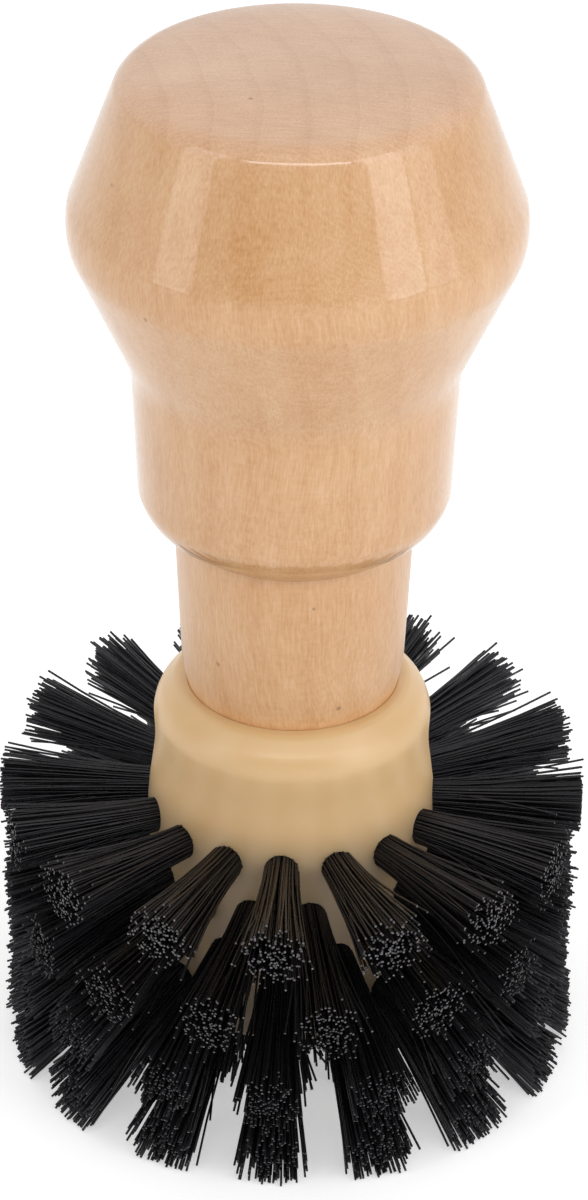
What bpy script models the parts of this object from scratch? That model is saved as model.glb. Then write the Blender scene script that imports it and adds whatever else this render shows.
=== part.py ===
"""Round brush for cleaning coffee machines: turned wooden handle, moulded hub and rows of bristle tufts.

The brush stands on its bristles, +Z up, with the middle of the floor under it as the origin.
One tuft of the top row points along -Y, to the front. Lengths are in metres.
"""
import math

import bmesh
import bpy
from mathutils import Matrix, Vector

MM = 0.001

# Fits between pieces
CLEARANCE = 0.3 * MM            # gap between two pieces that touch on the real brush
CUT_OVERRUN = 1.0 * MM          # how far a cutter runs past the surface that it cuts

# Brush head: the bristles are trimmed to a cylinder that fills a 58 mm filter basket
HEAD_RADIUS = 29.0 * MM
END_REACH = 6.5 * MM            # bristles below the hub's end face
FLOOR_CUT = 0.5 * MM            # depth of the flats on the tips that the brush stands on

# Hub
HUB_RADIUS = 14.1 * MM          # at the tuft holes
HUB_EDGE = 0.9 * MM             # rounding of its lower edge
WAIST_RADIUS = 13.05 * MM
SHOULDER_RADIUS = 13.55 * MM
SHOULDER_ROUND = 3.0 * MM
WAIST_ROUND = 6.0 * MM
FLARE_ROUND = 5.0 * MM
COLLAR_RISE = 12.6 * MM         # from the top row of holes up to the hub's rim
SHOULDER_DROP = 2.6 * MM        # from the rim down to the shoulder
WAIST_DROP = 6.4 * MM
RIM_WIDTH = 0.4 * MM
SOCKET_DEPTH = 9.0 * MM

# Tufts on the hub's side, in rows counted from the top
ROW_TUFTS = 16
LOWEST_ROW_RISE = 4.2 * MM      # from the hub's end face up to the lowest row of holes
ROW_PITCH = 5.8 * MM
ROW_TURN_SHARES = (0, 0.5, 0, 0)            # turn of each row, as a share of the tuft spacing
ROW_REACH_SHARES = (1, 0.975, 0.955, 0.965)  # where its tips end, as a share of the head's radius
ROW_DROP_SHARES = (0.02, 0.49, 0.84, 1)     # droop of its tips, as a share of the lowest row's
ROW_FAN_SHARES = (0.75, 0.95, 1, 1)         # height of its fans, as a share of the full one
FAN_WIDTH = 4.0 * MM            # across the tips of one tuft, between its outer strands
FAN_HEIGHT = 5.6 * MM

# Tufts under the hub's end face: one ring of them round another
END_TUFT_COUNTS = (10, 5)
END_MOUTH_SHARES = (0.596, 0.277)           # radius of each ring's holes, as a share of the hub's
END_TIP_SHARES = (0.886, 0.386)             # radius of its tips, as a share of the hub's

# Tuft holes and strands
HOLE_RADIUS = 1.65 * MM
HOLE_SIDES = 8
TUFT_DEPTH = 5.0 * MM           # from the hole's mouth down to the root
MOUTH_LEAD = 1.2 * MM           # a tuft stays straight this far out of its hole, then fans
STRAND_SIDES = 3
STRAND_FILL_SHARE = 0.31        # strand radius, as a share of the room in the hole
CORNER_STRANDS = 4              # round one in the middle
SLICE_THICKNESS = 1.8 * MM      # backing that a row's roots are fused to

# Stud between the hub and the handle
STUD_RADIUS = 2.5 * MM
STUD_CHAMFER = 0.8 * MM
STUD_IN_HANDLE = 14.0 * MM
STUD_FLOOR = 8.0 * MM           # plastic left under the stud, above the hub's end face

# Handle, from the hub's rim up
NECK_END_RADIUS = 10.6 * MM
NECK_TOP_RADIUS = 11.4 * MM
NECK_LENGTH = 17.9 * MM
SPIGOT_CHAMFER = 0.6 * MM
COLLAR_SLOPE = 1.8 * MM
COLLAR_RADIUS = 14.77 * MM
COLLAR_LENGTH = 14.9 * MM
COLLAR_ROUND = 5.8 * MM
KNOB_FOOT_RADIUS = 15.45 * MM
KNOB_FOOT_ROUND = 8.8 * MM
KNOB_LOWER_LENGTH = 14.15 * MM
KNOB_RADIUS = 21.7 * MM
KNOB_ROUND = 6.8 * MM
KNOB_UPPER_LENGTH = 13.65 * MM
KNOB_EDGE_RADIUS = 16.65 * MM
KNOB_EDGE_ROUND = 0.8 * MM
CROWN_RISE = 2.2 * MM
CROWN_RADIUS = 13.0 * MM
CROWN_ROUND = 6.0 * MM

# Smoothness of the turned pieces
HANDLE_STEPS = 48
HUB_STEPS = 32
SLICE_STEPS = 16
STUD_STEPS = 12
ARC_STEP = math.radians(18)
ROUND_REACH_SHARE = 0.48        # longest part of an edge that one rounding may use
WELD = 0.001 * MM

# Heights that follow from the lengths above
HUB_END = END_REACH
ROW_COUNT = len(ROW_TURN_SHARES)
ROW_HEIGHTS = [HUB_END + LOWEST_ROW_RISE + ROW_PITCH * step for step in reversed(range(ROW_COUNT))]
HUB_TOP = ROW_HEIGHTS[0] + COLLAR_RISE
SOCKET_FLOOR = HUB_TOP - SOCKET_DEPTH
STUD_LOW = HUB_END + STUD_FLOOR
STUD_HIGH = SOCKET_FLOOR + STUD_IN_HANDLE
NECK_TOP = HUB_TOP + NECK_LENGTH
COLLAR_LOW = NECK_TOP + COLLAR_SLOPE
KNOB_FOOT = COLLAR_LOW + COLLAR_LENGTH
KNOB_WIDEST = KNOB_FOOT + KNOB_LOWER_LENGTH
KNOB_EDGE = KNOB_WIDEST + KNOB_UPPER_LENGTH
HANDLE_TOP = KNOB_EDGE + CROWN_RISE

# Room inside a hole, and how the strands share it
HOLE_ROOM = HOLE_RADIUS * math.cos(math.pi / HOLE_SIDES) - CLEARANCE
STRAND_RADIUS = HOLE_ROOM * STRAND_FILL_SHARE
ROOT_SPREAD = HOLE_ROOM - STRAND_RADIUS
LOWEST_TIP = FAN_HEIGHT / 2 - FLOOR_CUT
LOWEST_DROP = ROW_HEIGHTS[-1] - LOWEST_TIP


def clear_scene():
    """Remove the objects of the open scene."""
    for item in list(bpy.data.objects):
        bpy.data.objects.remove(item, do_unlink=True)


def new_collection(name, owner=None):
    """Make a collection under another one, or under the scene's own."""
    collection = bpy.data.collections.new(name)
    (owner or bpy.context.scene.collection).children.link(collection)
    return collection


def linear(value):
    """Turn one sRGB value of 0 to 255 into the linear value that a shader takes."""
    share = value / 255
    return share / 12.92 if share <= 0.04045 else ((share + 0.055) / 1.055) ** 2.4


def new_material(name, colour, roughness, metallic=0.0):
    """Make a Principled material from an sRGB colour."""
    material = bpy.data.materials.new(name)
    material.use_nodes = True
    shader = material.node_tree.nodes["Principled BSDF"]
    shader.inputs["Base Color"].default_value = (*[linear(value) for value in colour], 1)
    shader.inputs["Roughness"].default_value = roughness
    shader.inputs["Metallic"].default_value = metallic
    return material


def new_object(name, mesh, collection, material=None):
    """Put a mesh into the scene as a named object."""
    item = bpy.data.objects.new(name, mesh)
    collection.objects.link(item)
    if material:
        mesh.materials.append(material)
    return item


def hide_cutter(item):
    """Show a helper as wires only, and leave it out of renders."""
    item.hide_render = True
    item.display_type = "WIRE"
    return item


def rounded_outline(corners):
    """Turn (radius, height, rounding) corners into points, with an arc in place of each rounded one."""
    points = []
    for index, (radius, height, rounding) in enumerate(corners):
        here = Vector((radius, height))
        if rounding == 0:
            points.append(here)
            continue
        back = Vector(corners[index - 1][:2]) - here
        ahead = Vector(corners[index + 1][:2]) - here
        half_angle = back.angle(ahead) / 2
        longest = ROUND_REACH_SHARE * min(back.length, ahead.length)
        reach = min(rounding / math.tan(half_angle), longest)
        first = here + back.normalized() * reach
        bisector = (back.normalized() + ahead.normalized()).normalized()
        centre = here + bisector * reach / math.cos(half_angle)
        turn = math.pi - 2 * half_angle
        if back.x * ahead.y > back.y * ahead.x:
            turn = -turn
        steps = max(2, round(abs(turn) / ARC_STEP))
        for step in range(steps + 1):
            points.append(centre + Matrix.Rotation(turn * step / steps, 2) @ (first - centre))
    return points


def turned(name, points, steps, collection, material=None, start=0.0):
    """Turn an outline, which runs down its outer side, once round the Z axis from a start angle.

    An outline that starts off the axis is closed, and gives a ring.
    """
    mesh = bpy.data.meshes.new(name)
    edges = [(index, index + 1) for index in range(len(points) - 1)]
    if points[0][0] > 0:
        edges.append((len(points) - 1, 0))
    spoke = Vector((math.cos(start), math.sin(start), 0))
    mesh.from_pydata([spoke * radius + Vector((0, 0, height)) for radius, height in points], edges, [])
    item = new_object(name, mesh, collection, material)
    screw = item.modifiers.new("Turn", "SCREW")
    screw.steps = steps
    screw.render_steps = steps
    screw.use_merge_vertices = True
    screw.merge_threshold = WELD
    return item


def combine(item, others, operation):
    """Cut or join a collection's objects into this one with an exact Boolean."""
    boolean = item.modifiers.new(operation.title(), "BOOLEAN")
    boolean.operation = operation
    boolean.solver = "EXACT"
    boolean.operand_type = "COLLECTION"
    boolean.collection = others


def finish(item):
    """Keep the shape that the modifiers give, shaded smooth with its corners sharp."""
    depsgraph = bpy.context.evaluated_depsgraph_get()
    mesh = bpy.data.meshes.new_from_object(item.evaluated_get(depsgraph))
    mesh.name = item.name
    item.modifiers.clear()
    item.data = mesh
    mesh.shade_smooth()
    mesh.set_sharp_from_angle(angle=math.radians(30))
    return item


class Tuft:
    """One tuft: its hole's mouth, the middle of its tips, and the directions that go with them."""

    def __init__(self, azimuth, mouth, tip, fan_width, fan_height, on_end):
        outward = Vector((math.sin(azimuth), -math.cos(azimuth), 0))
        self.azimuth = azimuth
        self.side = Vector((math.cos(azimuth), math.sin(azimuth), 0))
        self.mouth = outward * mouth[0] + Vector((0, 0, mouth[1]))
        self.tip = outward * tip[0] + Vector((0, 0, tip[1]))
        self.axis = (self.tip - self.mouth).normalized()
        self.root = self.mouth - self.axis * TUFT_DEPTH
        self.across = self.axis.cross(self.side)
        self.trim = outward if on_end else Vector((0, 0, 1))
        if self.trim.dot(self.across) < 0:
            self.trim = -self.trim
        self.fan_width = fan_width
        self.fan_height = fan_height
        self.on_end = on_end

    def strand_path(self, side_share, across_share):
        """Give the root, bend and tip of the strand at these shares of the tuft's half widths."""
        inside = self.side * side_share * ROOT_SPREAD + self.across * across_share * ROOT_SPREAD
        corner = math.sqrt(2)
        spread = self.side * side_share * corner * self.fan_width / 2
        spread += self.trim * across_share * corner * self.fan_height / 2
        bend = self.mouth + self.axis * MOUTH_LEAD
        return self.root + inside, bend + inside, self.tip + spread


def row_tufts(row):
    """List the tufts of one row on the hub's side."""
    height = ROW_HEIGHTS[row]
    tip = (HEAD_RADIUS * ROW_REACH_SHARES[row], height - LOWEST_DROP * ROW_DROP_SHARES[row])
    fan_height = FAN_HEIGHT * ROW_FAN_SHARES[row]
    spacing = 2 * math.pi / ROW_TUFTS
    azimuths = [spacing * (place + ROW_TURN_SHARES[row]) for place in range(ROW_TUFTS)]
    return [Tuft(azimuth, (HUB_RADIUS, height), tip, FAN_WIDTH, fan_height, False) for azimuth in azimuths]


def end_tufts():
    """List the tufts under the hub's end face, ring by ring."""
    tufts = []
    for count, mouth_share, tip_share in zip(END_TUFT_COUNTS, END_MOUTH_SHARES, END_TIP_SHARES):
        mouth = (HUB_RADIUS * mouth_share, HUB_END)
        tip = (HUB_RADIUS * tip_share, -FLOOR_CUT)
        spacing = 2 * math.pi / count
        azimuths = [spacing * place for place in range(count)]
        tufts += [Tuft(azimuth, mouth, tip, FAN_WIDTH, FAN_WIDTH, True) for azimuth in azimuths]
    return tufts


def section_at_roots(tufts, half_breadth, half_thickness):
    """Give the section of a ring, or under the end face a disc, through the roots of these tufts."""
    radii = [math.hypot(tuft.root.x, tuft.root.y) for tuft in tufts]
    heights = [tuft.root.z for tuft in tufts]
    half_width, half_height = half_thickness, half_breadth
    if tufts[0].on_end:
        half_width, half_height = half_breadth, half_thickness
    outer = max(radii) + half_width
    inner = 0 if tufts[0].on_end else min(radii) - half_width
    top = max(heights) + half_height
    bottom = min(heights) - half_height
    return [(inner, top), (outer, top), (outer, bottom), (inner, bottom)]


def add_strand(body, path):
    """Add one strand, an even prism that follows its path."""
    first = path[1] - path[0]
    turn = first.to_track_quat("Z", "Y").to_matrix().to_4x4()
    place = Matrix.Translation(path[0]) @ turn
    made = bmesh.ops.create_circle(
        body, cap_ends=True, segments=STRAND_SIDES, radius=STRAND_RADIUS, matrix=place)
    end = made["verts"][0].link_faces[0]
    for here, there in zip(path, path[1:]):
        made = bmesh.ops.extrude_face_region(body, geom=[end, *end.edges])["geom"]
        corners = [item for item in made if isinstance(item, bmesh.types.BMVert)]
        end = next(item for item in made if isinstance(item, bmesh.types.BMFace))
        bmesh.ops.translate(body, verts=corners, vec=there - here)


def trim_at_floor(body):
    """Cut off what reaches below the floor, and close the cut ends flat."""
    everything = [*body.verts, *body.edges, *body.faces]
    made = bmesh.ops.bisect_plane(
        body, geom=everything, dist=WELD, plane_co=(0, 0, 0), plane_no=(0, 0, -1), clear_outer=True)
    cut = [item for item in made["geom_cut"] if isinstance(item, bmesh.types.BMEdge)]
    if cut:
        bmesh.ops.edgeloop_fill(body, edges=cut)


def add_strands(name, tufts, collection):
    """Add the strands of all these tufts as one helper: one in the middle and others round it."""
    turns = [math.tau * (place + 0.5) / CORNER_STRANDS for place in range(CORNER_STRANDS)]
    shares = [(0, 0)] + [(math.cos(turn), math.sin(turn)) for turn in turns]
    body = bmesh.new()
    for tuft in tufts:
        for side_share, across_share in shares:
            add_strand(body, tuft.strand_path(side_share, across_share))
    trim_at_floor(body)
    bmesh.ops.recalc_face_normals(body, faces=body.faces)
    mesh = bpy.data.meshes.new(name)
    body.to_mesh(mesh)
    body.free()
    hide_cutter(new_object(name, mesh, collection))


def turned_at_roots(name, tufts, section, collection, material=None):
    """Turn a section through these tufts' roots, with a flat behind each tuft."""
    start = tufts[0].azimuth + math.pi / SLICE_STEPS
    return turned(name, section, SLICE_STEPS, collection, material, start)


def make_bristles(name, tufts, parts, cutters, material):
    """Make a bristle piece: the strands of its tufts, fused to a slice of their backing."""
    section = section_at_roots(tufts, HOLE_ROOM, SLICE_THICKNESS / 2)
    item = turned_at_roots(name, tufts, section, parts, material)
    helpers = new_collection(name + "_helpers", cutters)
    add_strands(name + "_strands", tufts, helpers)
    combine(item, helpers, "UNION")
    return finish(item)


def add_drills(name, tufts, collection):
    """Add the drills for these tufts' holes, each from its root to the open air."""
    body = bmesh.new()
    depth = TUFT_DEPTH + MOUTH_LEAD + CUT_OVERRUN
    for tuft in tufts:
        middle = tuft.root + tuft.axis * depth / 2
        turn = tuft.axis.to_track_quat("Z", "Y").to_matrix().to_4x4()
        bmesh.ops.create_cone(
            body, cap_ends=True, segments=HOLE_SIDES, radius1=HOLE_RADIUS, radius2=HOLE_RADIUS,
            depth=depth, matrix=Matrix.Translation(middle) @ turn)
    mesh = bpy.data.meshes.new(name)
    body.to_mesh(mesh)
    body.free()
    hide_cutter(new_object(name, mesh, collection))


def make_hub(side_rows, end, parts, cutters, material):
    """Make the moulded hub: socket and stud hole inside, shoulder, waist and flare outside."""
    socket = NECK_END_RADIUS + CLEARANCE
    stud_hole = STUD_RADIUS + CLEARANCE
    outline = rounded_outline([
        (0, STUD_LOW, 0),
        (stud_hole, STUD_LOW, 0),
        (stud_hole, SOCKET_FLOOR, 0),
        (socket, SOCKET_FLOOR, 0),
        (socket, HUB_TOP, 0),
        (socket + RIM_WIDTH, HUB_TOP, 0),
        (SHOULDER_RADIUS, HUB_TOP - SHOULDER_DROP, SHOULDER_ROUND),
        (WAIST_RADIUS, HUB_TOP - WAIST_DROP, WAIST_ROUND),
        (HUB_RADIUS, ROW_HEIGHTS[0] + HOLE_RADIUS, FLARE_ROUND),
        (HUB_RADIUS, HUB_END, HUB_EDGE),
        (0, HUB_END, 0),
    ])
    hub = turned("hub", outline, HUB_STEPS, parts, material, start=math.pi / HUB_STEPS)
    helpers = new_collection("hub_helpers", cutters)
    for number, tufts in enumerate(side_rows + [end], start=1):
        room = section_at_roots(tufts, HOLE_RADIUS + CLEARANCE, SLICE_THICKNESS / 2 + CLEARANCE)
        hide_cutter(turned_at_roots(f"pocket_{number}", tufts, room, helpers))
        add_drills(f"drills_{number}", tufts, helpers)
    combine(hub, helpers, "DIFFERENCE")
    return finish(hub)


def make_handle(parts, material):
    """Turn the handle: domed crown, knob, collar, neck and the spigot in the hub's socket."""
    spigot_end = SOCKET_FLOOR + CLEARANCE
    pilot = STUD_RADIUS + CLEARANCE
    outline = rounded_outline([
        (0, HANDLE_TOP, 0),
        (CROWN_RADIUS, HANDLE_TOP, CROWN_ROUND),
        (KNOB_EDGE_RADIUS, KNOB_EDGE, KNOB_EDGE_ROUND),
        (KNOB_RADIUS, KNOB_WIDEST, KNOB_ROUND),
        (KNOB_FOOT_RADIUS, KNOB_FOOT, KNOB_FOOT_ROUND),
        (COLLAR_RADIUS, COLLAR_LOW, COLLAR_ROUND),
        (NECK_TOP_RADIUS, NECK_TOP, 0),
        (NECK_END_RADIUS, HUB_TOP, 0),
        (NECK_END_RADIUS, spigot_end + SPIGOT_CHAMFER, 0),
        (NECK_END_RADIUS - SPIGOT_CHAMFER, spigot_end, 0),
        (pilot, spigot_end, 0),
        (pilot, STUD_HIGH, 0),
        (0, STUD_HIGH, 0),
    ])
    return finish(turned("handle", outline, HANDLE_STEPS, parts, material))


def make_stud(parts, material):
    """Turn the stud that joins the hub and the handle, chamfered at both ends."""
    low = STUD_LOW + CLEARANCE
    high = STUD_HIGH - CLEARANCE
    outline = [
        (0, high),
        (STUD_RADIUS - STUD_CHAMFER, high),
        (STUD_RADIUS, high - STUD_CHAMFER),
        (STUD_RADIUS, low + STUD_CHAMFER),
        (STUD_RADIUS - STUD_CHAMFER, low),
        (0, low),
    ]
    return finish(turned("handle_stud", outline, STUD_STEPS, parts, material))


def build():
    """Build the whole brush."""
    clear_scene()
    parts = new_collection("coffee_machine_cleaning_brush")
    cutters = new_collection("cutters")
    wood = new_material("varnished_wood", (222, 184, 146), 0.3)
    plastic = new_material("cream_plastic", (222, 190, 145), 0.4)
    nylon = new_material("black_nylon", (18, 16, 17), 0.45)
    steel = new_material("zinc_plated_steel", (170, 170, 168), 0.35, metallic=1.0)
    rows = [row_tufts(row) for row in range(ROW_COUNT)]
    end = end_tufts()
    make_handle(parts, wood)
    make_stud(parts, steel)
    make_hub(rows, end, parts, cutters, plastic)
    for number, tufts in enumerate(rows, start=1):
        make_bristles(f"bristle_row_{number}", tufts, parts, cutters, nylon)
    make_bristles("bristle_end", end, parts, cutters, nylon)


build()
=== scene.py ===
import math
import random

import bpy
from mathutils import Matrix, Vector


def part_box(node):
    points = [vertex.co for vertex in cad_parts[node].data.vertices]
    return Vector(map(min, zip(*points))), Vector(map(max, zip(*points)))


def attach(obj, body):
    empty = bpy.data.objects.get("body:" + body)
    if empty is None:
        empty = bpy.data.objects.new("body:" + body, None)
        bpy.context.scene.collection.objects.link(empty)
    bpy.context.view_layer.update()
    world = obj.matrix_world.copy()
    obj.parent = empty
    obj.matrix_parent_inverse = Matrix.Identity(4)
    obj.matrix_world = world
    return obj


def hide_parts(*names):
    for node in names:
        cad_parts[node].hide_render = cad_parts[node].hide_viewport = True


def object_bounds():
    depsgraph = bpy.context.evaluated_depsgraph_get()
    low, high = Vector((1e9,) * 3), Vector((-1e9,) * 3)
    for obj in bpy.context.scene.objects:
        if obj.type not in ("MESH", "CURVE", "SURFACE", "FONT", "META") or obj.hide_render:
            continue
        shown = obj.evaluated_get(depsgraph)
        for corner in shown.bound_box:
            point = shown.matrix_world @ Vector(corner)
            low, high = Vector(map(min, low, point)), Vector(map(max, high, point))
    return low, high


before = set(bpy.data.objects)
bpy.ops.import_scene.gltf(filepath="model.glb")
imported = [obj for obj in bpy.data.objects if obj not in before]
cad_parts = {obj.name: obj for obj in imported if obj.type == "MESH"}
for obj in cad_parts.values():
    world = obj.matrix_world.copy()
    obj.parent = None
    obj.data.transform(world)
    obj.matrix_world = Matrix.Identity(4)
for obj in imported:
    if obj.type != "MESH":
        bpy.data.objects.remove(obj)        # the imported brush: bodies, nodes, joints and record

cad_low, cad_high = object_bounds()
bpy.ops.object.select_all(action="DESELECT")

MM = 0.001


# Hub
# One injection moulding in cream ABS with a soft satin skin. The neck of the handle is pressed into its
# open top, and each bristle tuft is punched into a hole drilled in its side or its end face.

hub_low, hub_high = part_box("hub")
HUB_END = hub_low[2]
HUB_TOP = hub_high[2]
HUB_RADIUS = 14.1 * MM
HUB_SIDES = 160

STUD_HOLE_RADIUS = 2.8 * MM
STUD_HOLE_FLOOR = HUB_END + 8.0 * MM
SOCKET_RADIUS = 10.9 * MM
SOCKET_FLOOR = HUB_TOP - 9.0 * MM
LIP_RADIUS = 10.2 * MM          # the mouth of the socket closes on the rounded foot of the neck
LIP_UNDERSIDE = HUB_TOP - 1.1 * MM
LIP_EDGE = HUB_TOP - 0.4 * MM
LIP_ROUND = 0.15 * MM

RIM_RADIUS = 11.3 * MM
RIM_HEIGHT = HUB_TOP - 0.1 * MM
RIM_ROUND = 1.2 * MM
SHOULDER_RADIUS = 13.55 * MM
SHOULDER_HEIGHT = HUB_TOP - 2.5 * MM
SHOULDER_ROUND = 4.4 * MM
WAIST_RADIUS = 13.3 * MM
WAIST_HEIGHT = HUB_TOP - 7.2 * MM
WAIST_ROUND = 14.0 * MM
WALL_TOP = HUB_TOP - 13.4 * MM  # the straight wall runs from here down to the end face
WALL_TOP_ROUND = 7.0 * MM
WALL_CUTS = 28
END_ROUND = 0.9 * MM
END_INNER_RADIUS = 6.0 * MM     # an extra ring in the flat end face, between its two rings of holes

ROUNDING_STEP = 5               # about how many degrees lie between two facets of a rounded corner
ROUNDING_SHARE = 0.48           # a rounding takes up no more than this share of an edge
CLOSE = 0.01 * MM               # points nearer than this stand in the same place
SMOOTH_ANGLE = math.radians(35)

HOLE_RADIUS = 1.65 * MM
HOLE_LIP = 0.12 * MM            # countersink that the drill leaves at the mouth
DRILL_SIDES = 28
DRILL_SPARE = 0.2 * MM          # how far a hole goes past the ends of its bristles
TUFT_DEPTH = 3.4 * MM           # how far the bristles are modelled down their holes
ROW_TUFTS = 16
ROW_HEIGHTS = [HUB_END + rise * MM for rise in (20.6, 15.1, 9.7, 4.2)]
ROW_TURNS = (0, 0.5, 0, 0)      # share of the spacing between two tufts
# The tips of each row: their radius, their height, and how much higher they stand at the back, in mm
ROW_TIPS = [(28.5, 27.0, 2.2), (28.1, 18.0, 1.7), (27.8, 9.2, 0.8), (28.1, 2.5, 0)]
# The rings of tufts under the end face: tufts, radius at their holes and at their tips, in mm
END_RINGS = [(10, 8.4, 12.5), (5, 3.9, 5.4)]


class Tuft:
    """One bundle of bristles: the mouth of its hole, its direction, and the middle of its tips.

    The mouth and the tip are given as (radius, height) and kept as points.
    """

    def __init__(self, azimuth, mouth, tip):
        self.outward = Vector((math.sin(azimuth), -math.cos(azimuth), 0))
        self.side = Vector((math.cos(azimuth), math.sin(azimuth), 0))
        self.mouth = self.outward * mouth[0] + Vector((0, 0, mouth[1]))
        self.tip = self.outward * tip[0] + Vector((0, 0, tip[1]))
        self.axis = (self.tip - self.mouth).normalized()
        self.up = self.side.cross(self.axis)


def row_tufts(row):
    """List the tufts of one row round the hub, the top row first."""
    tufts = []
    for place in range(ROW_TUFTS):
        azimuth = math.tau * (place + ROW_TURNS[row]) / ROW_TUFTS
        radius, height, back_rise = ROW_TIPS[row]
        height += back_rise * max(0, -math.cos(azimuth))
        tufts.append(Tuft(azimuth, (HUB_RADIUS, ROW_HEIGHTS[row]), (radius * MM, height * MM)))
    return tufts


def end_tufts():
    """List the tufts under the hub's end face."""
    tufts = []
    for count, mouth_radius, tip_radius in END_RINGS:
        mouth, tip = (mouth_radius * MM, HUB_END), (tip_radius * MM, 0)
        tufts += [Tuft(math.tau * place / count, mouth, tip) for place in range(count)]
    return tufts


def select_edges(piece, wanted):
    """In edit mode, select only the edges whose two ends both pass the test."""
    bpy.ops.mesh.select_all(action="DESELECT")
    bpy.ops.object.mode_set(mode="OBJECT")
    points = piece.data.vertices
    for edge in piece.data.edges:
        edge.select = all(wanted(points[index].co) for index in edge.vertices)
    bpy.ops.object.mode_set(mode="EDIT")


def turn_on_axis(name, corners, sides):
    """Turn a closed piece: a circle is drawn out ring by ring, then its corners are rounded.

    A corner is (radius, height, rounding). A flat face closes the first ring and the last one.
    """
    first_radius, first_height, _ = corners[0]
    bpy.ops.mesh.primitive_circle_add(vertices=sides, radius=first_radius, fill_type="NGON")
    piece = bpy.context.object
    piece.name = name
    bpy.ops.object.mode_set(mode="EDIT")
    bpy.ops.transform.translate(value=(0, 0, first_height))
    for here, there in zip(corners, corners[1:]):
        bpy.ops.mesh.extrude_region_move(TRANSFORM_OT_translate={"value": (0, 0, there[1] - here[1])})
        scale = there[0] / here[0]
        bpy.ops.transform.resize(value=(scale, scale, 1), center_override=(0, 0, there[1]))
    for before, corner, after in zip(corners, corners[1:], corners[2:]):
        radius, height, rounding = corner
        if rounding == 0:
            continue
        back = Vector(before[:2]) - Vector(corner[:2])
        ahead = Vector(after[:2]) - Vector(corner[:2])
        half_angle = back.angle(ahead) / 2
        reach = min(rounding / math.tan(half_angle), ROUNDING_SHARE * min(back.length, ahead.length))
        segments = max(3, round(math.degrees(math.pi - 2 * half_angle) / ROUNDING_STEP))
        select_edges(piece, lambda point: abs(point.z - height) < CLOSE
                     and abs(math.hypot(point.x, point.y) - radius) < CLOSE)
        bpy.ops.mesh.bevel(offset=reach, segments=segments, affect="EDGES")
    bpy.ops.mesh.select_all(action="SELECT")
    bpy.ops.mesh.normals_make_consistent(inside=False)
    bpy.ops.object.mode_set(mode="OBJECT")
    return piece


def cut_into_rings(piece, low, high, cuts):
    """Cut the upright faces of a turned piece's wall between two heights into rings."""
    bpy.ops.object.mode_set(mode="EDIT")
    bpy.ops.mesh.select_mode(type="EDGE")
    bpy.ops.mesh.select_all(action="DESELECT")
    bpy.ops.object.mode_set(mode="OBJECT")
    points = piece.data.vertices
    for edge in piece.data.edges:
        first, second = (points[index].co for index in edge.vertices)
        on_wall = all(math.hypot(point.x, point.y) > SOCKET_RADIUS + MM for point in (first, second))
        upright = abs(first.z - second.z) > MM and min(first.z, second.z) > low - MM
        edge.select = on_wall and upright and max(first.z, second.z) < high + MM
    bpy.ops.object.mode_set(mode="EDIT")
    bpy.ops.mesh.subdivide(number_cuts=cuts)
    bpy.ops.object.mode_set(mode="OBJECT")


hub = turn_on_axis("hub_moulding", [
    (STUD_HOLE_RADIUS, STUD_HOLE_FLOOR, 0),
    (STUD_HOLE_RADIUS, SOCKET_FLOOR, 0),
    (SOCKET_RADIUS, SOCKET_FLOOR, 0),
    (SOCKET_RADIUS, LIP_UNDERSIDE, 0),
    (LIP_RADIUS, LIP_EDGE, 0),
    (LIP_RADIUS, HUB_TOP, LIP_ROUND),
    (RIM_RADIUS, RIM_HEIGHT, RIM_ROUND),
    (SHOULDER_RADIUS, SHOULDER_HEIGHT, SHOULDER_ROUND),
    (WAIST_RADIUS, WAIST_HEIGHT, WAIST_ROUND),
    (HUB_RADIUS, WALL_TOP, WALL_TOP_ROUND),
    (HUB_RADIUS, HUB_END, END_ROUND),
    (END_INNER_RADIUS, HUB_END, 0),
], HUB_SIDES)
cut_into_rings(hub, HUB_END, WALL_TOP, WALL_CUTS)

# The drill that makes every hole: a straight shank, then a cone of 45 degrees that starts inside the
# mouth and runs out past the wall
shank = TUFT_DEPTH + DRILL_SPARE - HOLE_LIP
cone = 8 * HOLE_LIP
widening = (HOLE_RADIUS + cone) / HOLE_RADIUS
bpy.ops.mesh.primitive_circle_add(vertices=DRILL_SIDES, radius=HOLE_RADIUS, fill_type="NGON")
drill = bpy.context.object
bpy.ops.object.mode_set(mode="EDIT")
bpy.ops.transform.translate(value=(0, 0, -TUFT_DEPTH - DRILL_SPARE))
bpy.ops.mesh.extrude_region_move(TRANSFORM_OT_translate={"value": (0, 0, shank)})
bpy.ops.mesh.extrude_region_move(TRANSFORM_OT_translate={"value": (0, 0, cone)})
bpy.ops.transform.resize(value=(widening, widening, 1), center_override=(0, 0, 7 * HOLE_LIP))
bpy.ops.mesh.select_all(action="SELECT")
bpy.ops.mesh.normals_make_consistent(inside=False)
bpy.ops.object.mode_set(mode="OBJECT")

all_tufts = [tuft for row in range(len(ROW_HEIGHTS)) for tuft in row_tufts(row)] + end_tufts()
drills = []
for tuft in all_tufts:
    copy = drill.copy()
    copy.data = drill.data.copy()
    bpy.context.collection.objects.link(copy)
    turn = tuft.axis.to_track_quat("Z", "Y").to_matrix().to_4x4()
    copy.matrix_world = Matrix.Translation(tuft.mouth) @ turn
    drills.append(copy)
bpy.data.objects.remove(drill)
bpy.ops.object.select_all(action="DESELECT")
for copy in drills:
    copy.select_set(True)
bpy.context.view_layer.objects.active = drills[0]
bpy.ops.object.join()
all_drills = bpy.context.object

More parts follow.
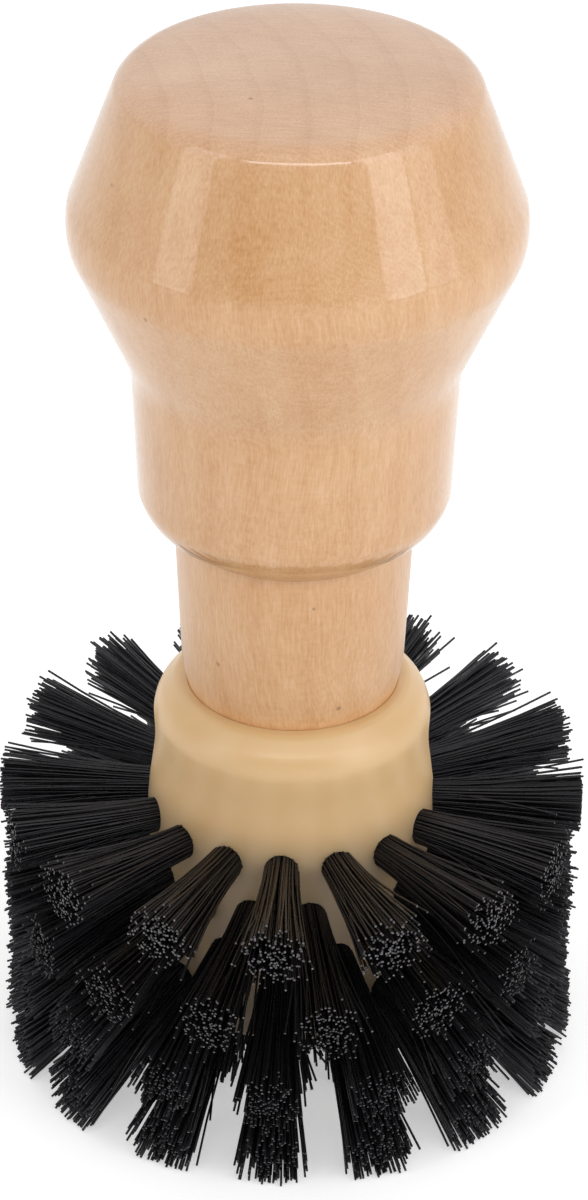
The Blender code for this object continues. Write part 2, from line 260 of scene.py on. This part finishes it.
bpy.ops.object.select_all(action="DESELECT")
bpy.context.view_layer.objects.active = hub
hub.select_set(True)
holes = hub.modifiers.new("tuft_holes", "BOOLEAN")
holes.object = all_drills
holes.operation = "DIFFERENCE"
holes.use_self = True
bpy.ops.object.modifier_apply(modifier=holes.name)
bpy.data.objects.remove(all_drills)
bpy.ops.object.shade_smooth_by_angle(angle=SMOOTH_ANGLE)


def linear(colour):
    """Turn an sRGB hex colour into the linear values that a shader takes."""
    values = [int(colour[start:start + 2], 16) / 255 for start in (1, 3, 5)]
    return (*[v / 12.92 if v <= 0.04045 else ((v + 0.055) / 1.055) ** 2.4 for v in values], 1)


def add_node(tree, kind, inputs=None, **settings):
    """Add a node, set its properties, and give its inputs a value or another node's output."""
    node = tree.nodes.new(kind)
    for name, value in settings.items():
        setattr(node, name, value)
    for name, value in (inputs or {}).items():
        if isinstance(value, bpy.types.NodeSocket):
            tree.links.new(value, node.inputs[name])
        else:
            node.inputs[name].default_value = value
    return node


def new_material(name):
    """Make an empty Principled material, and give its tree and shader."""
    material = bpy.data.materials.new(name)
    material.use_nodes = True
    return material, material.node_tree, material.node_tree.nodes["Principled BSDF"]


# Injection moulded ABS, cream: faintly translucent, with slow clouds of tone where the melt flowed. The
# rounded rim came smooth from the mould, and the wall below it has a duller, spark-eroded skin. A painted
# shade greys the wall among the tufts, where they keep the light off, from just above the top row
# downwards.
GLOSS_HEIGHTS = (HUB_TOP - 8.0 * MM, HUB_TOP - 1.5 * MM)
TUFT_SHADE_HEIGHTS = (ROW_HEIGHTS[0] - 1.5 * MM, ROW_HEIGHTS[0] + 4.5 * MM)

moulded_abs, tree, shader = new_material("moulded_cream_abs")
place = add_node(tree, "ShaderNodeTexCoord").outputs["Object"]
clouds = add_node(tree, "ShaderNodeTexNoise", {"Vector": place, "Scale": 1 / (9 * MM), "Detail": 3.0})
cream = add_node(tree, "ShaderNodeValToRGB", {"Fac": clouds.outputs["Fac"]})
cream.color_ramp.elements[0].position = 0.2
cream.color_ramp.elements[0].color = linear("#E2BA83")
cream.color_ramp.elements[1].position = 0.8
cream.color_ramp.elements[1].color = linear("#EBC693")
grain = add_node(tree, "ShaderNodeTexNoise", {"Vector": place, "Scale": 1 / (0.35 * MM), "Detail": 2.0})
skin = add_node(tree, "ShaderNodeBump", {
    "Height": grain.outputs["Fac"], "Strength": 0.12, "Distance": 0.03 * MM})
level = add_node(tree, "ShaderNodeSeparateXYZ", {"Vector": place}).outputs["Z"]
gloss = add_node(tree, "ShaderNodeMapRange", {
    "Value": level, "From Min": GLOSS_HEIGHTS[0], "From Max": GLOSS_HEIGHTS[1],
    "To Min": 0.44, "To Max": 0.32})
# Painted shade: among the tufts the wall is mixed towards dark grey, from just above the top row down
tuft_shade = add_node(tree, "ShaderNodeMapRange", {
    "Value": level, "From Min": TUFT_SHADE_HEIGHTS[0], "From Max": TUFT_SHADE_HEIGHTS[1],
    "To Min": 0.62, "To Max": 0.0}, interpolation_type="SMOOTHSTEP")
tuft_shaded_cream = add_node(tree, "ShaderNodeMix", {
    0: tuft_shade.outputs["Result"], 6: cream.outputs["Color"], 7: linear("#5F574E")}, data_type="RGBA")
tree.links.new(tuft_shaded_cream.outputs[2], shader.inputs["Base Color"])
tree.links.new(gloss.outputs["Result"], shader.inputs["Roughness"])
tree.links.new(skin.outputs["Normal"], shader.inputs["Normal"])
shader.inputs["Specular IOR Level"].default_value = 0.8
shader.inputs["Subsurface Weight"].default_value = 0.25
shader.inputs["Subsurface Radius"].default_value = (1.0, 0.6, 0.3)
shader.inputs["Subsurface Scale"].default_value = 2.0 * MM
hub.data.materials.append(moulded_abs)

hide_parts("hub")
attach(hub, "root")


# Bristles
# Black nylon monofilament, almost a quarter of a millimetre thick. Each bundle is folded into its hole
# with a wire anchor, so it leaves the hole tight and round, then fans out. The tips are trimmed last.

FILAMENT = 0.235 * MM
FILAMENT_SIDES = 6
FILAMENT_LENGTHS = 5
SHARP_ANGLE = math.radians(62)  # keeps a filament's six sides smooth and its cut ends sharp
TUFT_FILAMENTS = 170
HOLE_ROOM = HOLE_RADIUS - 0.4 * FILAMENT        # how far a filament stands off its hole's middle
STRAIGHT_LEAD = 0.26            # share of its length that a bundle stays tight
TRIM_RADIUS = cad_high.x - 0.35 * MM            # no tip stands out further than this
FLOOR_GAP = 0.15 * MM           # and none hangs lower than this
TRIM_ERROR = 0.13 * MM
EVEN_SHARE = 0.95               # filaments that fan out further have twice the trim error
# How wide the tips fan out across and up, in mm, and how far the loosest go, as a share of that
ROW_SPREADS = [(6.5, 6.5, 1.4), (6.4, 6.6, 1.4), (6.8, 7.2, 1.3), (7.6, 7.6, 1.12)]
END_SPREAD = (7.6, 5.4, 1.3)
CORE_SHARE = 0.75               # of the filaments, which stay close together
CORE_REACH = (0.84, 1.02)       # how far these fan out, as a share of the spread
CROWDING = 0.4                  # how much closer together the tips stand in the middle of a bundle

# Chance deviations, in mm but for the share of the strays
TUFT_WANDER = 0.25
TIP_WANDER = 0.22
FLOOR_WANDER = 0.25
BOW = 0.12
STRAY_SHARE = 0.07              # of the filaments, which stand apart from their bundle
STRAY_SIDEWAYS = (-2.2, 2.2)
STRAY_UPWARDS = (-1.2, 2.6)
STRAY_SHORTNESS = (0, 3.0)

# One filament, a rod of unit length that is cut into short lengths so that it can bend
bpy.ops.mesh.primitive_circle_add(vertices=FILAMENT_SIDES, radius=FILAMENT / 2, fill_type="NGON")
rod = bpy.context.object
bpy.ops.object.mode_set(mode="EDIT")
for _ in range(FILAMENT_LENGTHS):
    bpy.ops.mesh.extrude_region_move(TRANSFORM_OT_translate={"value": (0, 0, 1 / FILAMENT_LENGTHS)})
bpy.ops.mesh.select_all(action="SELECT")
bpy.ops.mesh.normals_make_consistent(inside=False)
bpy.ops.object.mode_set(mode="OBJECT")
rod_points = [point.co.copy() for point in rod.data.vertices]
rod_faces = [list(face.vertices) for face in rod.data.polygons]
# The face that closes the tip is told apart, because cut nylon looks paler
rod_ends = [all(rod_points[index].z > 0.99 for index in face) for face in rod_faces]
bpy.data.objects.remove(rod)


def wander(tuft, size, chance):
    """Give a random step square to a tuft, of this typical size in mm."""
    return tuft.side * chance.gauss(0, size) * MM + tuft.up * chance.gauss(0, size) * MM


def filament_path(tuft, spread, across, up, chance):
    """Give the root, the bend and the tip of one filament, from its place in the bundle."""
    wide, high, loosest = spread
    inside = tuft.side * across * HOLE_ROOM + tuft.up * up * HOLE_ROOM
    root = tuft.mouth - tuft.axis * TUFT_DEPTH + inside
    reach = (tuft.tip - tuft.mouth).length
    bend = tuft.mouth + tuft.axis * reach * STRAIGHT_LEAD + inside
    points_down = abs(tuft.axis.z) >= 0.75
    trim_side = tuft.outward if points_down else Vector((0, 0, 1))
    if trim_side.dot(tuft.up) < 0:
        trim_side = -trim_side
    in_core = chance.random() < CORE_SHARE
    fanning = chance.uniform(*CORE_REACH) if in_core else chance.uniform(1.0, loosest)
    fanning *= math.hypot(across, up) ** CROWDING
    tip = tuft.tip + (tuft.side * across * wide + trim_side * up * high) * fanning * MM / 2
    tip += tuft.axis * chance.gauss(0, 1) * TRIM_ERROR * (1 if fanning < EVEN_SHARE else 2)
    tip += wander(tuft, TIP_WANDER, chance)
    if chance.random() < STRAY_SHARE:
        sideways = tuft.side * chance.uniform(*STRAY_SIDEWAYS) * MM
        tip += sideways + tuft.up * chance.uniform(*STRAY_UPWARDS) * MM
        tip -= tuft.axis * chance.uniform(*STRAY_SHORTNESS) * MM
    radius = math.hypot(tip.x, tip.y)
    if radius > TRIM_RADIUS:
        tip.xy *= TRIM_RADIUS / radius
    tip.z = max(tip.z, FLOOR_GAP + abs(chance.gauss(0, FLOOR_WANDER)) * MM)
    return root, bend, tip


def bend_filament(path, bow):
    """Lay the rod along a smooth curve through its path, and give its points."""
    root, bend, tip = path
    laid = []
    for point in rod_points:
        share = point.z
        centre = root.lerp(bend, share).lerp(bend.lerp(tip, share), share)
        centre += bow * math.sin(math.pi * share) * share
        along = (bend - root).lerp(tip - bend, share).normalized()
        right = along.cross(Vector((0, 0, 1)) if abs(along.z) < 0.9 else Vector((1, 0, 0))).normalized()
        laid.append(centre + right * point.x + along.cross(right) * point.y)
    return laid


def plant_bristles(name, tufts, spread, seed):
    """Copy the rod once for each filament of these tufts, bent along its own path."""
    chance = random.Random(seed)
    points, faces, ends, tones = [], [], [], []
    for tuft in tufts:
        first_turn = chance.uniform(0, math.tau)
        tuft.tip += wander(tuft, TUFT_WANDER, chance)
        # The filaments fill the round hole evenly, as seeds fill a sunflower
        for place in range(TUFT_FILAMENTS):
            reach = math.sqrt((place + 0.5) / TUFT_FILAMENTS)
            turn = first_turn + place * math.pi * (3 - math.sqrt(5))
            path = filament_path(tuft, spread, reach * math.cos(turn), reach * math.sin(turn), chance)
            bow = wander(tuft, BOW, chance)
            start = len(points)
            points += bend_filament(path, bow)
            faces += [[start + index for index in face] for face in rod_faces]
            ends += rod_ends
            tones += [chance.random()] * len(rod_faces)
    mesh = bpy.data.meshes.new(name)
    mesh.from_pydata(points, [], faces)
    mesh.polygons.foreach_set("material_index", [int(end) for end in ends])
    tone = mesh.attributes.new("tone", "FLOAT", "FACE")
    tone.data.foreach_set("value", tones)
    mesh.materials.append(extruded_nylon)
    mesh.materials.append(cut_nylon)
    mesh.shade_smooth()
    mesh.set_sharp_from_angle(angle=SHARP_ANGLE)
    piece = bpy.data.objects.new(name, mesh)
    bpy.context.collection.objects.link(piece)
    return piece


# Extruded nylon monofilament, black: smooth and satin, so each one carries a thin grey line of light.
# Its tone changes a little from filament to filament, and its skin has fine draw marks.
extruded_nylon, tree, shader = new_material("extruded_black_nylon")
place = add_node(tree, "ShaderNodeTexCoord").outputs["Object"]
tone = add_node(tree, "ShaderNodeAttribute", attribute_name="tone").outputs["Fac"]
black = add_node(tree, "ShaderNodeValToRGB", {"Fac": tone})
black.color_ramp.elements[0].color = linear("#09090B")
black.color_ramp.elements[1].color = linear("#161618")
marks = add_node(tree, "ShaderNodeTexNoise", {"Vector": place, "Scale": 1 / (0.8 * MM), "Detail": 2.0})
gloss = add_node(tree, "ShaderNodeMapRange", {
    "Value": marks.outputs["Fac"], "From Min": 0.3, "From Max": 0.7, "To Min": 0.25, "To Max": 0.37})
tree.links.new(black.outputs["Color"], shader.inputs["Base Color"])
tree.links.new(gloss.outputs["Result"], shader.inputs["Roughness"])
shader.inputs["Specular Tint"].default_value = (0.93, 0.92, 1.0, 1.0)

# Cut nylon: the trimming leaves each end rough and paler than the skin, a small grey dot
cut_nylon, tree, shader = new_material("cut_black_nylon")
tone = add_node(tree, "ShaderNodeAttribute", attribute_name="tone").outputs["Fac"]
grey = add_node(tree, "ShaderNodeValToRGB", {"Fac": tone})
grey.color_ramp.elements[0].color = linear("#353335")
grey.color_ramp.elements[1].color = linear("#777478")
tree.links.new(grey.outputs["Color"], shader.inputs["Base Color"])
shader.inputs["Roughness"].default_value = 0.6

for row, spread in enumerate(ROW_SPREADS):
    bristles = plant_bristles(f"row_{row + 1}_bristles", row_tufts(row), spread, row + 1)
    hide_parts(f"bristle_row_{row + 1}")
    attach(bristles, "root")
bristles = plant_bristles("end_bristles", end_tufts(), END_SPREAD, 9)
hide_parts("bristle_end")
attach(bristles, "root")


# Stud
# A short rod of zinc plated steel, rolled and cut, that draws the handle down into the hub. It sits
# hidden in both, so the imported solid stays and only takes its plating.

zinc_plate, tree, shader = new_material("zinc_plated_steel")
place = add_node(tree, "ShaderNodeTexCoord").outputs["Object"]
spangle = add_node(tree, "ShaderNodeTexVoronoi", {"Vector": place, "Scale": 1 / (1.5 * MM)})
plating = add_node(tree, "ShaderNodeValToRGB", {"Fac": spangle.outputs["Distance"]})
plating.color_ramp.elements[0].color = linear("#B4B6B8")
plating.color_ramp.elements[1].color = linear("#9A9C9F")
tree.links.new(plating.outputs["Color"], shader.inputs["Base Color"])
shader.inputs["Metallic"].default_value = 1.0
shader.inputs["Roughness"].default_value = 0.35
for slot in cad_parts["handle_stud"].material_slots:
    slot.material = zinc_plate


# Handle
# One blank of birch, turned on a lathe with its grain upright: crown, knob, collar, neck, and a spigot
# that goes down into the hub. It is sanded and dipped in clear varnish.

handle_low, handle_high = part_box("handle")
CROWN_TOP = handle_high[2]
# The slightly domed crown: radius, depth below its top, and rounding of each ring, in mm
CROWN_RINGS = [(2.0, 0, 0), (8.0, 0.15, 60.0), (11.0, 0.35, 40.0), (13.4, 0.6, 20.0), (16.32, 1.22, 3.2)]
KNOB_EDGE = CROWN_TOP - 2.2 * MM
KNOB_WIDEST = KNOB_EDGE - 13.65 * MM
KNOB_RADIUS = 21.85 * MM        # before it is rounded
KNOB_ROUND = 6.8 * MM
KNOB_FOOT = KNOB_WIDEST - 14.15 * MM
KNOB_FOOT_RADIUS = 15.45 * MM
KNOB_FOOT_ROUND = 8.8 * MM
COLLAR_LOW = KNOB_FOOT - 14.9 * MM
COLLAR_RADIUS = 14.8 * MM
COLLAR_ROUND = 6.8 * MM
COLLAR_SHADE_TOP = COLLAR_LOW - 0.6 * MM                # the collar's band of painted shade lies below this
NECK_TOP = COLLAR_LOW - 2.5 * MM
SATIN_TOP = NECK_TOP + 0.02 * MM                # the coat is thin and satin below this
NECK_TOP_RADIUS = 11.4 * MM
NECK_TOP_ROUND = 0.1 * MM
NECK_LOW = HUB_TOP + 3.2 * MM
NECK_LOW_RADIUS = 10.76 * MM
NECK_LOW_ROUND = 8.0 * MM
NECK_TURN = HUB_TOP + 1.4 * MM                  # where its rounded foot begins
NECK_TURN_RADIUS = 10.56 * MM
NECK_TURN_ROUND = 5.0 * MM
NECK_FOOT_RADIUS = LIP_RADIUS + 0.02 * MM       # pressed into the lip
SPIGOT_END = handle_low[2]
SPIGOT_CHAMFER = 0.6 * MM
STUD_HOLE_TOP = SPIGOT_END + 13.7 * MM
HANDLE_SIDES = 160

crown = [(radius * MM, CROWN_TOP - depth * MM, rounding * MM) for radius, depth, rounding in CROWN_RINGS]
handle = turn_on_axis("turned_handle", crown + [
    (KNOB_RADIUS, KNOB_WIDEST, KNOB_ROUND),
    (KNOB_FOOT_RADIUS, KNOB_FOOT, KNOB_FOOT_ROUND),
    (COLLAR_RADIUS, COLLAR_LOW, COLLAR_ROUND),
    (NECK_TOP_RADIUS, NECK_TOP, NECK_TOP_ROUND),
    (NECK_LOW_RADIUS, NECK_LOW, NECK_LOW_ROUND),
    (NECK_TURN_RADIUS, NECK_TURN, NECK_TURN_ROUND),
    (NECK_FOOT_RADIUS, HUB_TOP, 0),
    (NECK_FOOT_RADIUS, SPIGOT_END + SPIGOT_CHAMFER, 0),
    (NECK_FOOT_RADIUS - SPIGOT_CHAMFER, SPIGOT_END, 0),
    (STUD_HOLE_RADIUS, SPIGOT_END, 0),
    (STUD_HOLE_RADIUS, STUD_HOLE_TOP, 0),
], HANDLE_SIDES)
bpy.ops.object.shade_smooth_by_angle(angle=SMOOTH_ANGLE)

# Birch under varnish: pale, with fine upright fibres, slow streaks, faint rings round a pith that lies
# well to the left, and short pale flecks where rays meet the surface. The dip coat gives a wet gloss.
varnished_birch, tree, shader = new_material("varnished_birch")
place = add_node(tree, "ShaderNodeTexCoord").outputs["Object"]
drift = add_node(tree, "ShaderNodeTexNoise", {"Vector": place, "Scale": 1 / (28 * MM), "Detail": 2.0})
sway = add_node(tree, "ShaderNodeVectorMath", {0: drift.outputs["Color"], 1: (0.5, 0.5, 0.5)},
                operation="SUBTRACT")
sway = add_node(tree, "ShaderNodeVectorMath", {0: sway.outputs["Vector"], "Scale": 6.0 * MM},
                operation="SCALE")
grown = add_node(tree, "ShaderNodeVectorMath", {0: place, 1: sway.outputs["Vector"]}).outputs["Vector"]


def wood_grain(size, detail=2.0, turn=0.0):
    """Noise whose cells have this size in mm across, in depth and along the grain."""
    stretched = add_node(tree, "ShaderNodeMapping", {
        "Vector": grown, "Rotation": (0, 0, turn), "Scale": [1 / (length * MM) for length in size]})
    noise = add_node(tree, "ShaderNodeTexNoise", {
        "Vector": stretched.outputs["Vector"], "Scale": 1.0, "Detail": detail, "Roughness": 0.6})
    return noise.outputs["Fac"]


def blend_in(tone, pattern, strength):
    """Add a pattern to a tone, centred on its middle value."""
    centred = add_node(tree, "ShaderNodeMath", {0: pattern, 1: 0.5}, operation="SUBTRACT")
    return add_node(tree, "ShaderNodeMath", {0: centred.outputs["Value"], 1: strength, 2: tone},
                    operation="MULTIPLY_ADD").outputs["Value"]


RING_WIDTH = 4.2 * MM
PITH = (-40 * MM, -12 * MM, 0)
from_pith = add_node(tree, "ShaderNodeVectorMath", {0: grown, 1: PITH}, operation="SUBTRACT")
flat = add_node(tree, "ShaderNodeVectorMath", {0: from_pith.outputs["Vector"], 1: (1, 1, 0)},
                operation="MULTIPLY")
distance = add_node(tree, "ShaderNodeVectorMath", {0: flat.outputs["Vector"]}, operation="LENGTH")
ring = add_node(tree, "ShaderNodeMath", {0: distance.outputs["Value"], 1: RING_WIDTH},
                operation="DIVIDE")
ring = add_node(tree, "ShaderNodeMath", {0: ring.outputs["Value"]}, operation="FRACT")
late_wood = add_node(tree, "ShaderNodeMapRange", {
    "Value": ring.outputs["Value"], "From Min": 0.72, "From Max": 0.95, "To Min": 0.5, "To Max": 0.0})

fibres = wood_grain((0.17, 0.17, 2.0), detail=3.0)
streaks = wood_grain((1.6, 1.6, 22), detail=3.0)
rays = wood_grain((2.6, 0.16, 0.45), turn=math.radians(-6))
mottle = wood_grain((9, 9, 14))
tone = blend_in(0.5, mottle, 0.55)
tone = blend_in(tone, fibres, 0.95)
tone = blend_in(tone, streaks, 0.45)
tone = blend_in(tone, rays, 0.4)
tone = blend_in(tone, late_wood.outputs["Result"], 0.12)
birch = add_node(tree, "ShaderNodeValToRGB", {"Fac": tone})
birch.color_ramp.elements[0].position = 0.15
birch.color_ramp.elements[0].color = linear("#CC9156")
birch.color_ramp.elements[1].position = 0.85
birch.color_ramp.elements[1].color = linear("#E9BE90")
middle = birch.color_ramp.elements.new(0.5)
middle.color = linear("#DCA976")

# On the crown the grain is cut across, which looks pinker and a little duller. Its paler tone there is
# also painted light from above.
facing = add_node(tree, "ShaderNodeSeparateXYZ", {
    "Vector": add_node(tree, "ShaderNodeTexCoord").outputs["Normal"]})
across_grain_and_top_light = add_node(tree, "ShaderNodeMapRange", {
    "Value": facing.outputs["Z"], "From Min": 0.35, "From Max": 0.75, "To Min": 0.0, "To Max": 1.0})
end_tone = blend_in(blend_in(blend_in(0.5, mottle, 0.5), fibres, 0.75), rays, 0.5)
end_tone = blend_in(end_tone, late_wood.outputs["Result"], 0.16)
crown_grain_and_top_light = add_node(tree, "ShaderNodeValToRGB", {"Fac": end_tone})
crown_grain_and_top_light.color_ramp.elements[0].position = 0.25
crown_grain_and_top_light.color_ramp.elements[0].color = linear("#D9A57D")
crown_grain_and_top_light.color_ramp.elements[1].position = 0.75
crown_grain_and_top_light.color_ramp.elements[1].color = linear("#F5C9A3")
colour = add_node(tree, "ShaderNodeMix", {
    0: across_grain_and_top_light.outputs["Result"], 6: birch.outputs["Color"], 7: crown_grain_and_top_light.outputs["Color"]},
    data_type="RGBA").outputs[2]

# Pin specks, a few small dark pores where buds once grew: the place and radius of each, in mm
SPECKS = [(-3.79, -7.68, 105.05, 0.3), (-6.52, -8.67, 46.82, 0.28), (5.0, -9.42, 42.87, 0.34),
          (2.58, -10.92, 54.77, 0.22), (-15.83, -10.09, 97.34, 0.26), (-12.28, -16.91, 87.64, 0.3)]
for x, y, z, size in SPECKS:
    speck_place = (x * MM, y * MM, z * MM)
    reach = add_node(tree, "ShaderNodeVectorMath", {0: place, 1: speck_place}, operation="DISTANCE")
    pore = add_node(tree, "ShaderNodeMapRange", {
        "Value": reach.outputs["Value"], "From Min": 0.4 * size * MM, "From Max": size * MM,
        "To Min": 0.55, "To Max": 0.0})
    colour = add_node(tree, "ShaderNodeMix", {
        0: pore.outputs["Result"], 6: colour, 7: linear("#6E4A2C")}, data_type="RGBA").outputs[2]
tree.links.new(colour, shader.inputs["Base Color"])
lift = add_node(tree, "ShaderNodeBump", {"Height": fibres, "Strength": 0.25, "Distance": 0.02 * MM})
tree.links.new(lift.outputs["Normal"], shader.inputs["Normal"])
ripple = add_node(tree, "ShaderNodeTexNoise", {"Vector": place, "Scale": 1 / (0.35 * MM), "Detail": 2.0})
ripple = add_node(tree, "ShaderNodeBump", {
    "Height": ripple.outputs["Fac"], "Strength": 1.0, "Distance": 0.006 * MM})
tree.links.new(ripple.outputs["Normal"], shader.inputs["Coat Normal"])
shader.inputs["Roughness"].default_value = 0.45
shader.inputs["Coat Weight"].default_value = 1.0
shader.inputs["Coat Roughness"].default_value = 0.055
shader.inputs["Coat IOR"].default_value = 1.5
handle.data.materials.append(varnished_birch)

# The neck and spigot, where the blank is held for the dip: the same birch under a thin, satin coat
satin_birch = varnished_birch.copy()
satin_birch.name = "satin_birch"
satin_birch.node_tree.nodes["Principled BSDF"].inputs["Coat Roughness"].default_value = 0.4
handle.data.materials.append(satin_birch)

# Under the collar a narrow band is painted darker, as painted shade below the overhang, and its coat is
# duller
collar_shade_band = varnished_birch.copy()
collar_shade_band.name = "collar_shade_on_birch"
tree = collar_shade_band.node_tree
shader = tree.nodes["Principled BSDF"]
unshaded_tone = shader.inputs["Base Color"].links[0].from_socket
collar_shade_tone = add_node(tree, "ShaderNodeMix", {0: 0.4, 6: unshaded_tone, 7: linear("#B9874E")},
                       data_type="RGBA")
tree.links.new(collar_shade_tone.outputs[2], shader.inputs["Base Color"])
shader.inputs["Coat Roughness"].default_value = 0.25
handle.data.materials.append(collar_shade_band)
for face in handle.data.polygons:
    if face.center.z < SATIN_TOP:
        face.material_index = 1
    elif face.center.z < COLLAR_SHADE_TOP:
        face.material_index = 2

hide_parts("handle")
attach(handle, "root")


# Studio
# A white table top that runs out to a white horizon under a grey room, as for a catalogue picture. A tall
# soft box stands on each side with a weaker one beside it, and a long narrow one hangs above the camera.

FLOOR_RADIUS = 3.0
FLOOR_SIDES = 64
bpy.ops.mesh.primitive_circle_add(vertices=FLOOR_SIDES, radius=FLOOR_RADIUS, fill_type="NGON")
floor = bpy.context.object
floor.name = "floor"

# White laminate, pressed and matt, hardly mirrors the brush. To the camera and in reflections it also
# glows a little, so that it looks as white as the horizon.
white_laminate, tree, shader = new_material("white_laminate")
shader.inputs["Base Color"].default_value = linear("#F6F6F6")
shader.inputs["Roughness"].default_value = 0.9
shader.inputs["Specular IOR Level"].default_value = 0.1
shader.inputs["Emission Color"].default_value = linear("#FFFFFF")
seen = add_node(tree, "ShaderNodeLightPath")
seen = add_node(tree, "ShaderNodeMath", {
    0: seen.outputs["Is Camera Ray"], 1: seen.outputs["Is Glossy Ray"]}, operation="MAXIMUM")
seen = add_node(tree, "ShaderNodeMath", {0: seen.outputs["Value"], 1: 0.45}, operation="MULTIPLY")
tree.links.new(seen.outputs["Value"], shader.inputs["Emission Strength"])
floor.data.materials.append(white_laminate)

world = bpy.context.scene.world or bpy.data.worlds.new("studio")
bpy.context.scene.world = world
world.use_nodes = True
tree = world.node_tree
tree.nodes.clear()
direction = add_node(tree, "ShaderNodeTexCoord").outputs["Generated"]
parts = add_node(tree, "ShaderNodeSeparateXYZ", {"Vector": direction})
horizon = add_node(tree, "ShaderNodeMapRange", {
    "Value": parts.outputs["Z"], "From Min": 0.04, "From Max": 0.14, "To Min": 0.0, "To Max": 1.0})
behind = add_node(tree, "ShaderNodeMapRange", {
    "Value": parts.outputs["Y"], "From Min": -0.1, "From Max": 0.6, "To Min": 0.28, "To Max": 0.88})
room = add_node(tree, "ShaderNodeMix", {
    0: horizon.outputs["Result"], 2: 0.9, 3: behind.outputs["Result"]}, data_type="FLOAT")
background = add_node(tree, "ShaderNodeBackground", {
    "Color": (1, 1, 1, 1), "Strength": room.outputs[0]})
add_node(tree, "ShaderNodeOutputWorld", {"Surface": background.outputs["Background"]})

VIEW_TURN = math.radians(3.5)       # the camera stands a little to the right of the middle tufts
BOX_DISTANCE = 0.9
BOX_TARGET = Vector((0, 0, 60 * MM))
# Degrees to the right of the camera and up from the table, width and height in m, and brightness
SOFT_BOXES = {
    "left_box": (-61, 22, 0.34, 0.74, 1.85),
    "left_fill": (-80, 22, 0.28, 0.72, 0.2),
    "right_box": (52.5, 22, 0.34, 0.74, 2.45),
    "right_fill": (74, 22, 0.28, 0.72, 1.35),
    "top_box": (0, 43, 0.9, 0.13, 5.1),
}

CAMERA_LENS = 132
CAMERA_SENSOR = 36
CAMERA_PLACE = Vector((0.00006, -0.3604, 0.2692))       # before it is turned round the brush
CAMERA_TILT = math.radians(58.57)
CAMERA_ROLL = math.radians(0.65)


def add_soft_box(name, azimuth, elevation, width, height, radiance):
    """Hang an area light that faces the brush; radiance is the brightness of its face."""
    data = bpy.data.lights.new(name, "AREA")
    data.shape = "RECTANGLE"
    data.size = width
    data.size_y = height
    data.energy = radiance * math.pi * width * height
    light = bpy.data.objects.new(name, data)
    bpy.context.collection.objects.link(light)
    light.visible_camera = False
    back = Vector((math.sin(azimuth) * math.cos(elevation), -math.cos(azimuth) * math.cos(elevation),
                   math.sin(elevation)))
    light.location = BOX_TARGET + back * BOX_DISTANCE
    light.rotation_mode = "QUATERNION"
    light.rotation_quaternion = back.to_track_quat("Z", "Y")


for name, (azimuth, elevation, width, height, radiance) in SOFT_BOXES.items():
    add_soft_box(name, math.radians(azimuth) + VIEW_TURN, math.radians(elevation), width, height, radiance)

camera = bpy.data.objects.new("camera", bpy.data.cameras.new("camera"))
bpy.context.collection.objects.link(camera)
camera.data.lens = CAMERA_LENS
camera.data.sensor_width = CAMERA_SENSOR
stand = Matrix.Rotation(VIEW_TURN, 4, "Z")
tilt = Matrix.Rotation(CAMERA_TILT, 4, "X") @ Matrix.Rotation(CAMERA_ROLL, 4, "Z")
camera.location = stand @ CAMERA_PLACE
camera.rotation_euler = (stand @ tilt).to_euler()
bpy.context.scene.camera = camera
bpy.context.scene.view_settings.view_transform = "Standard"
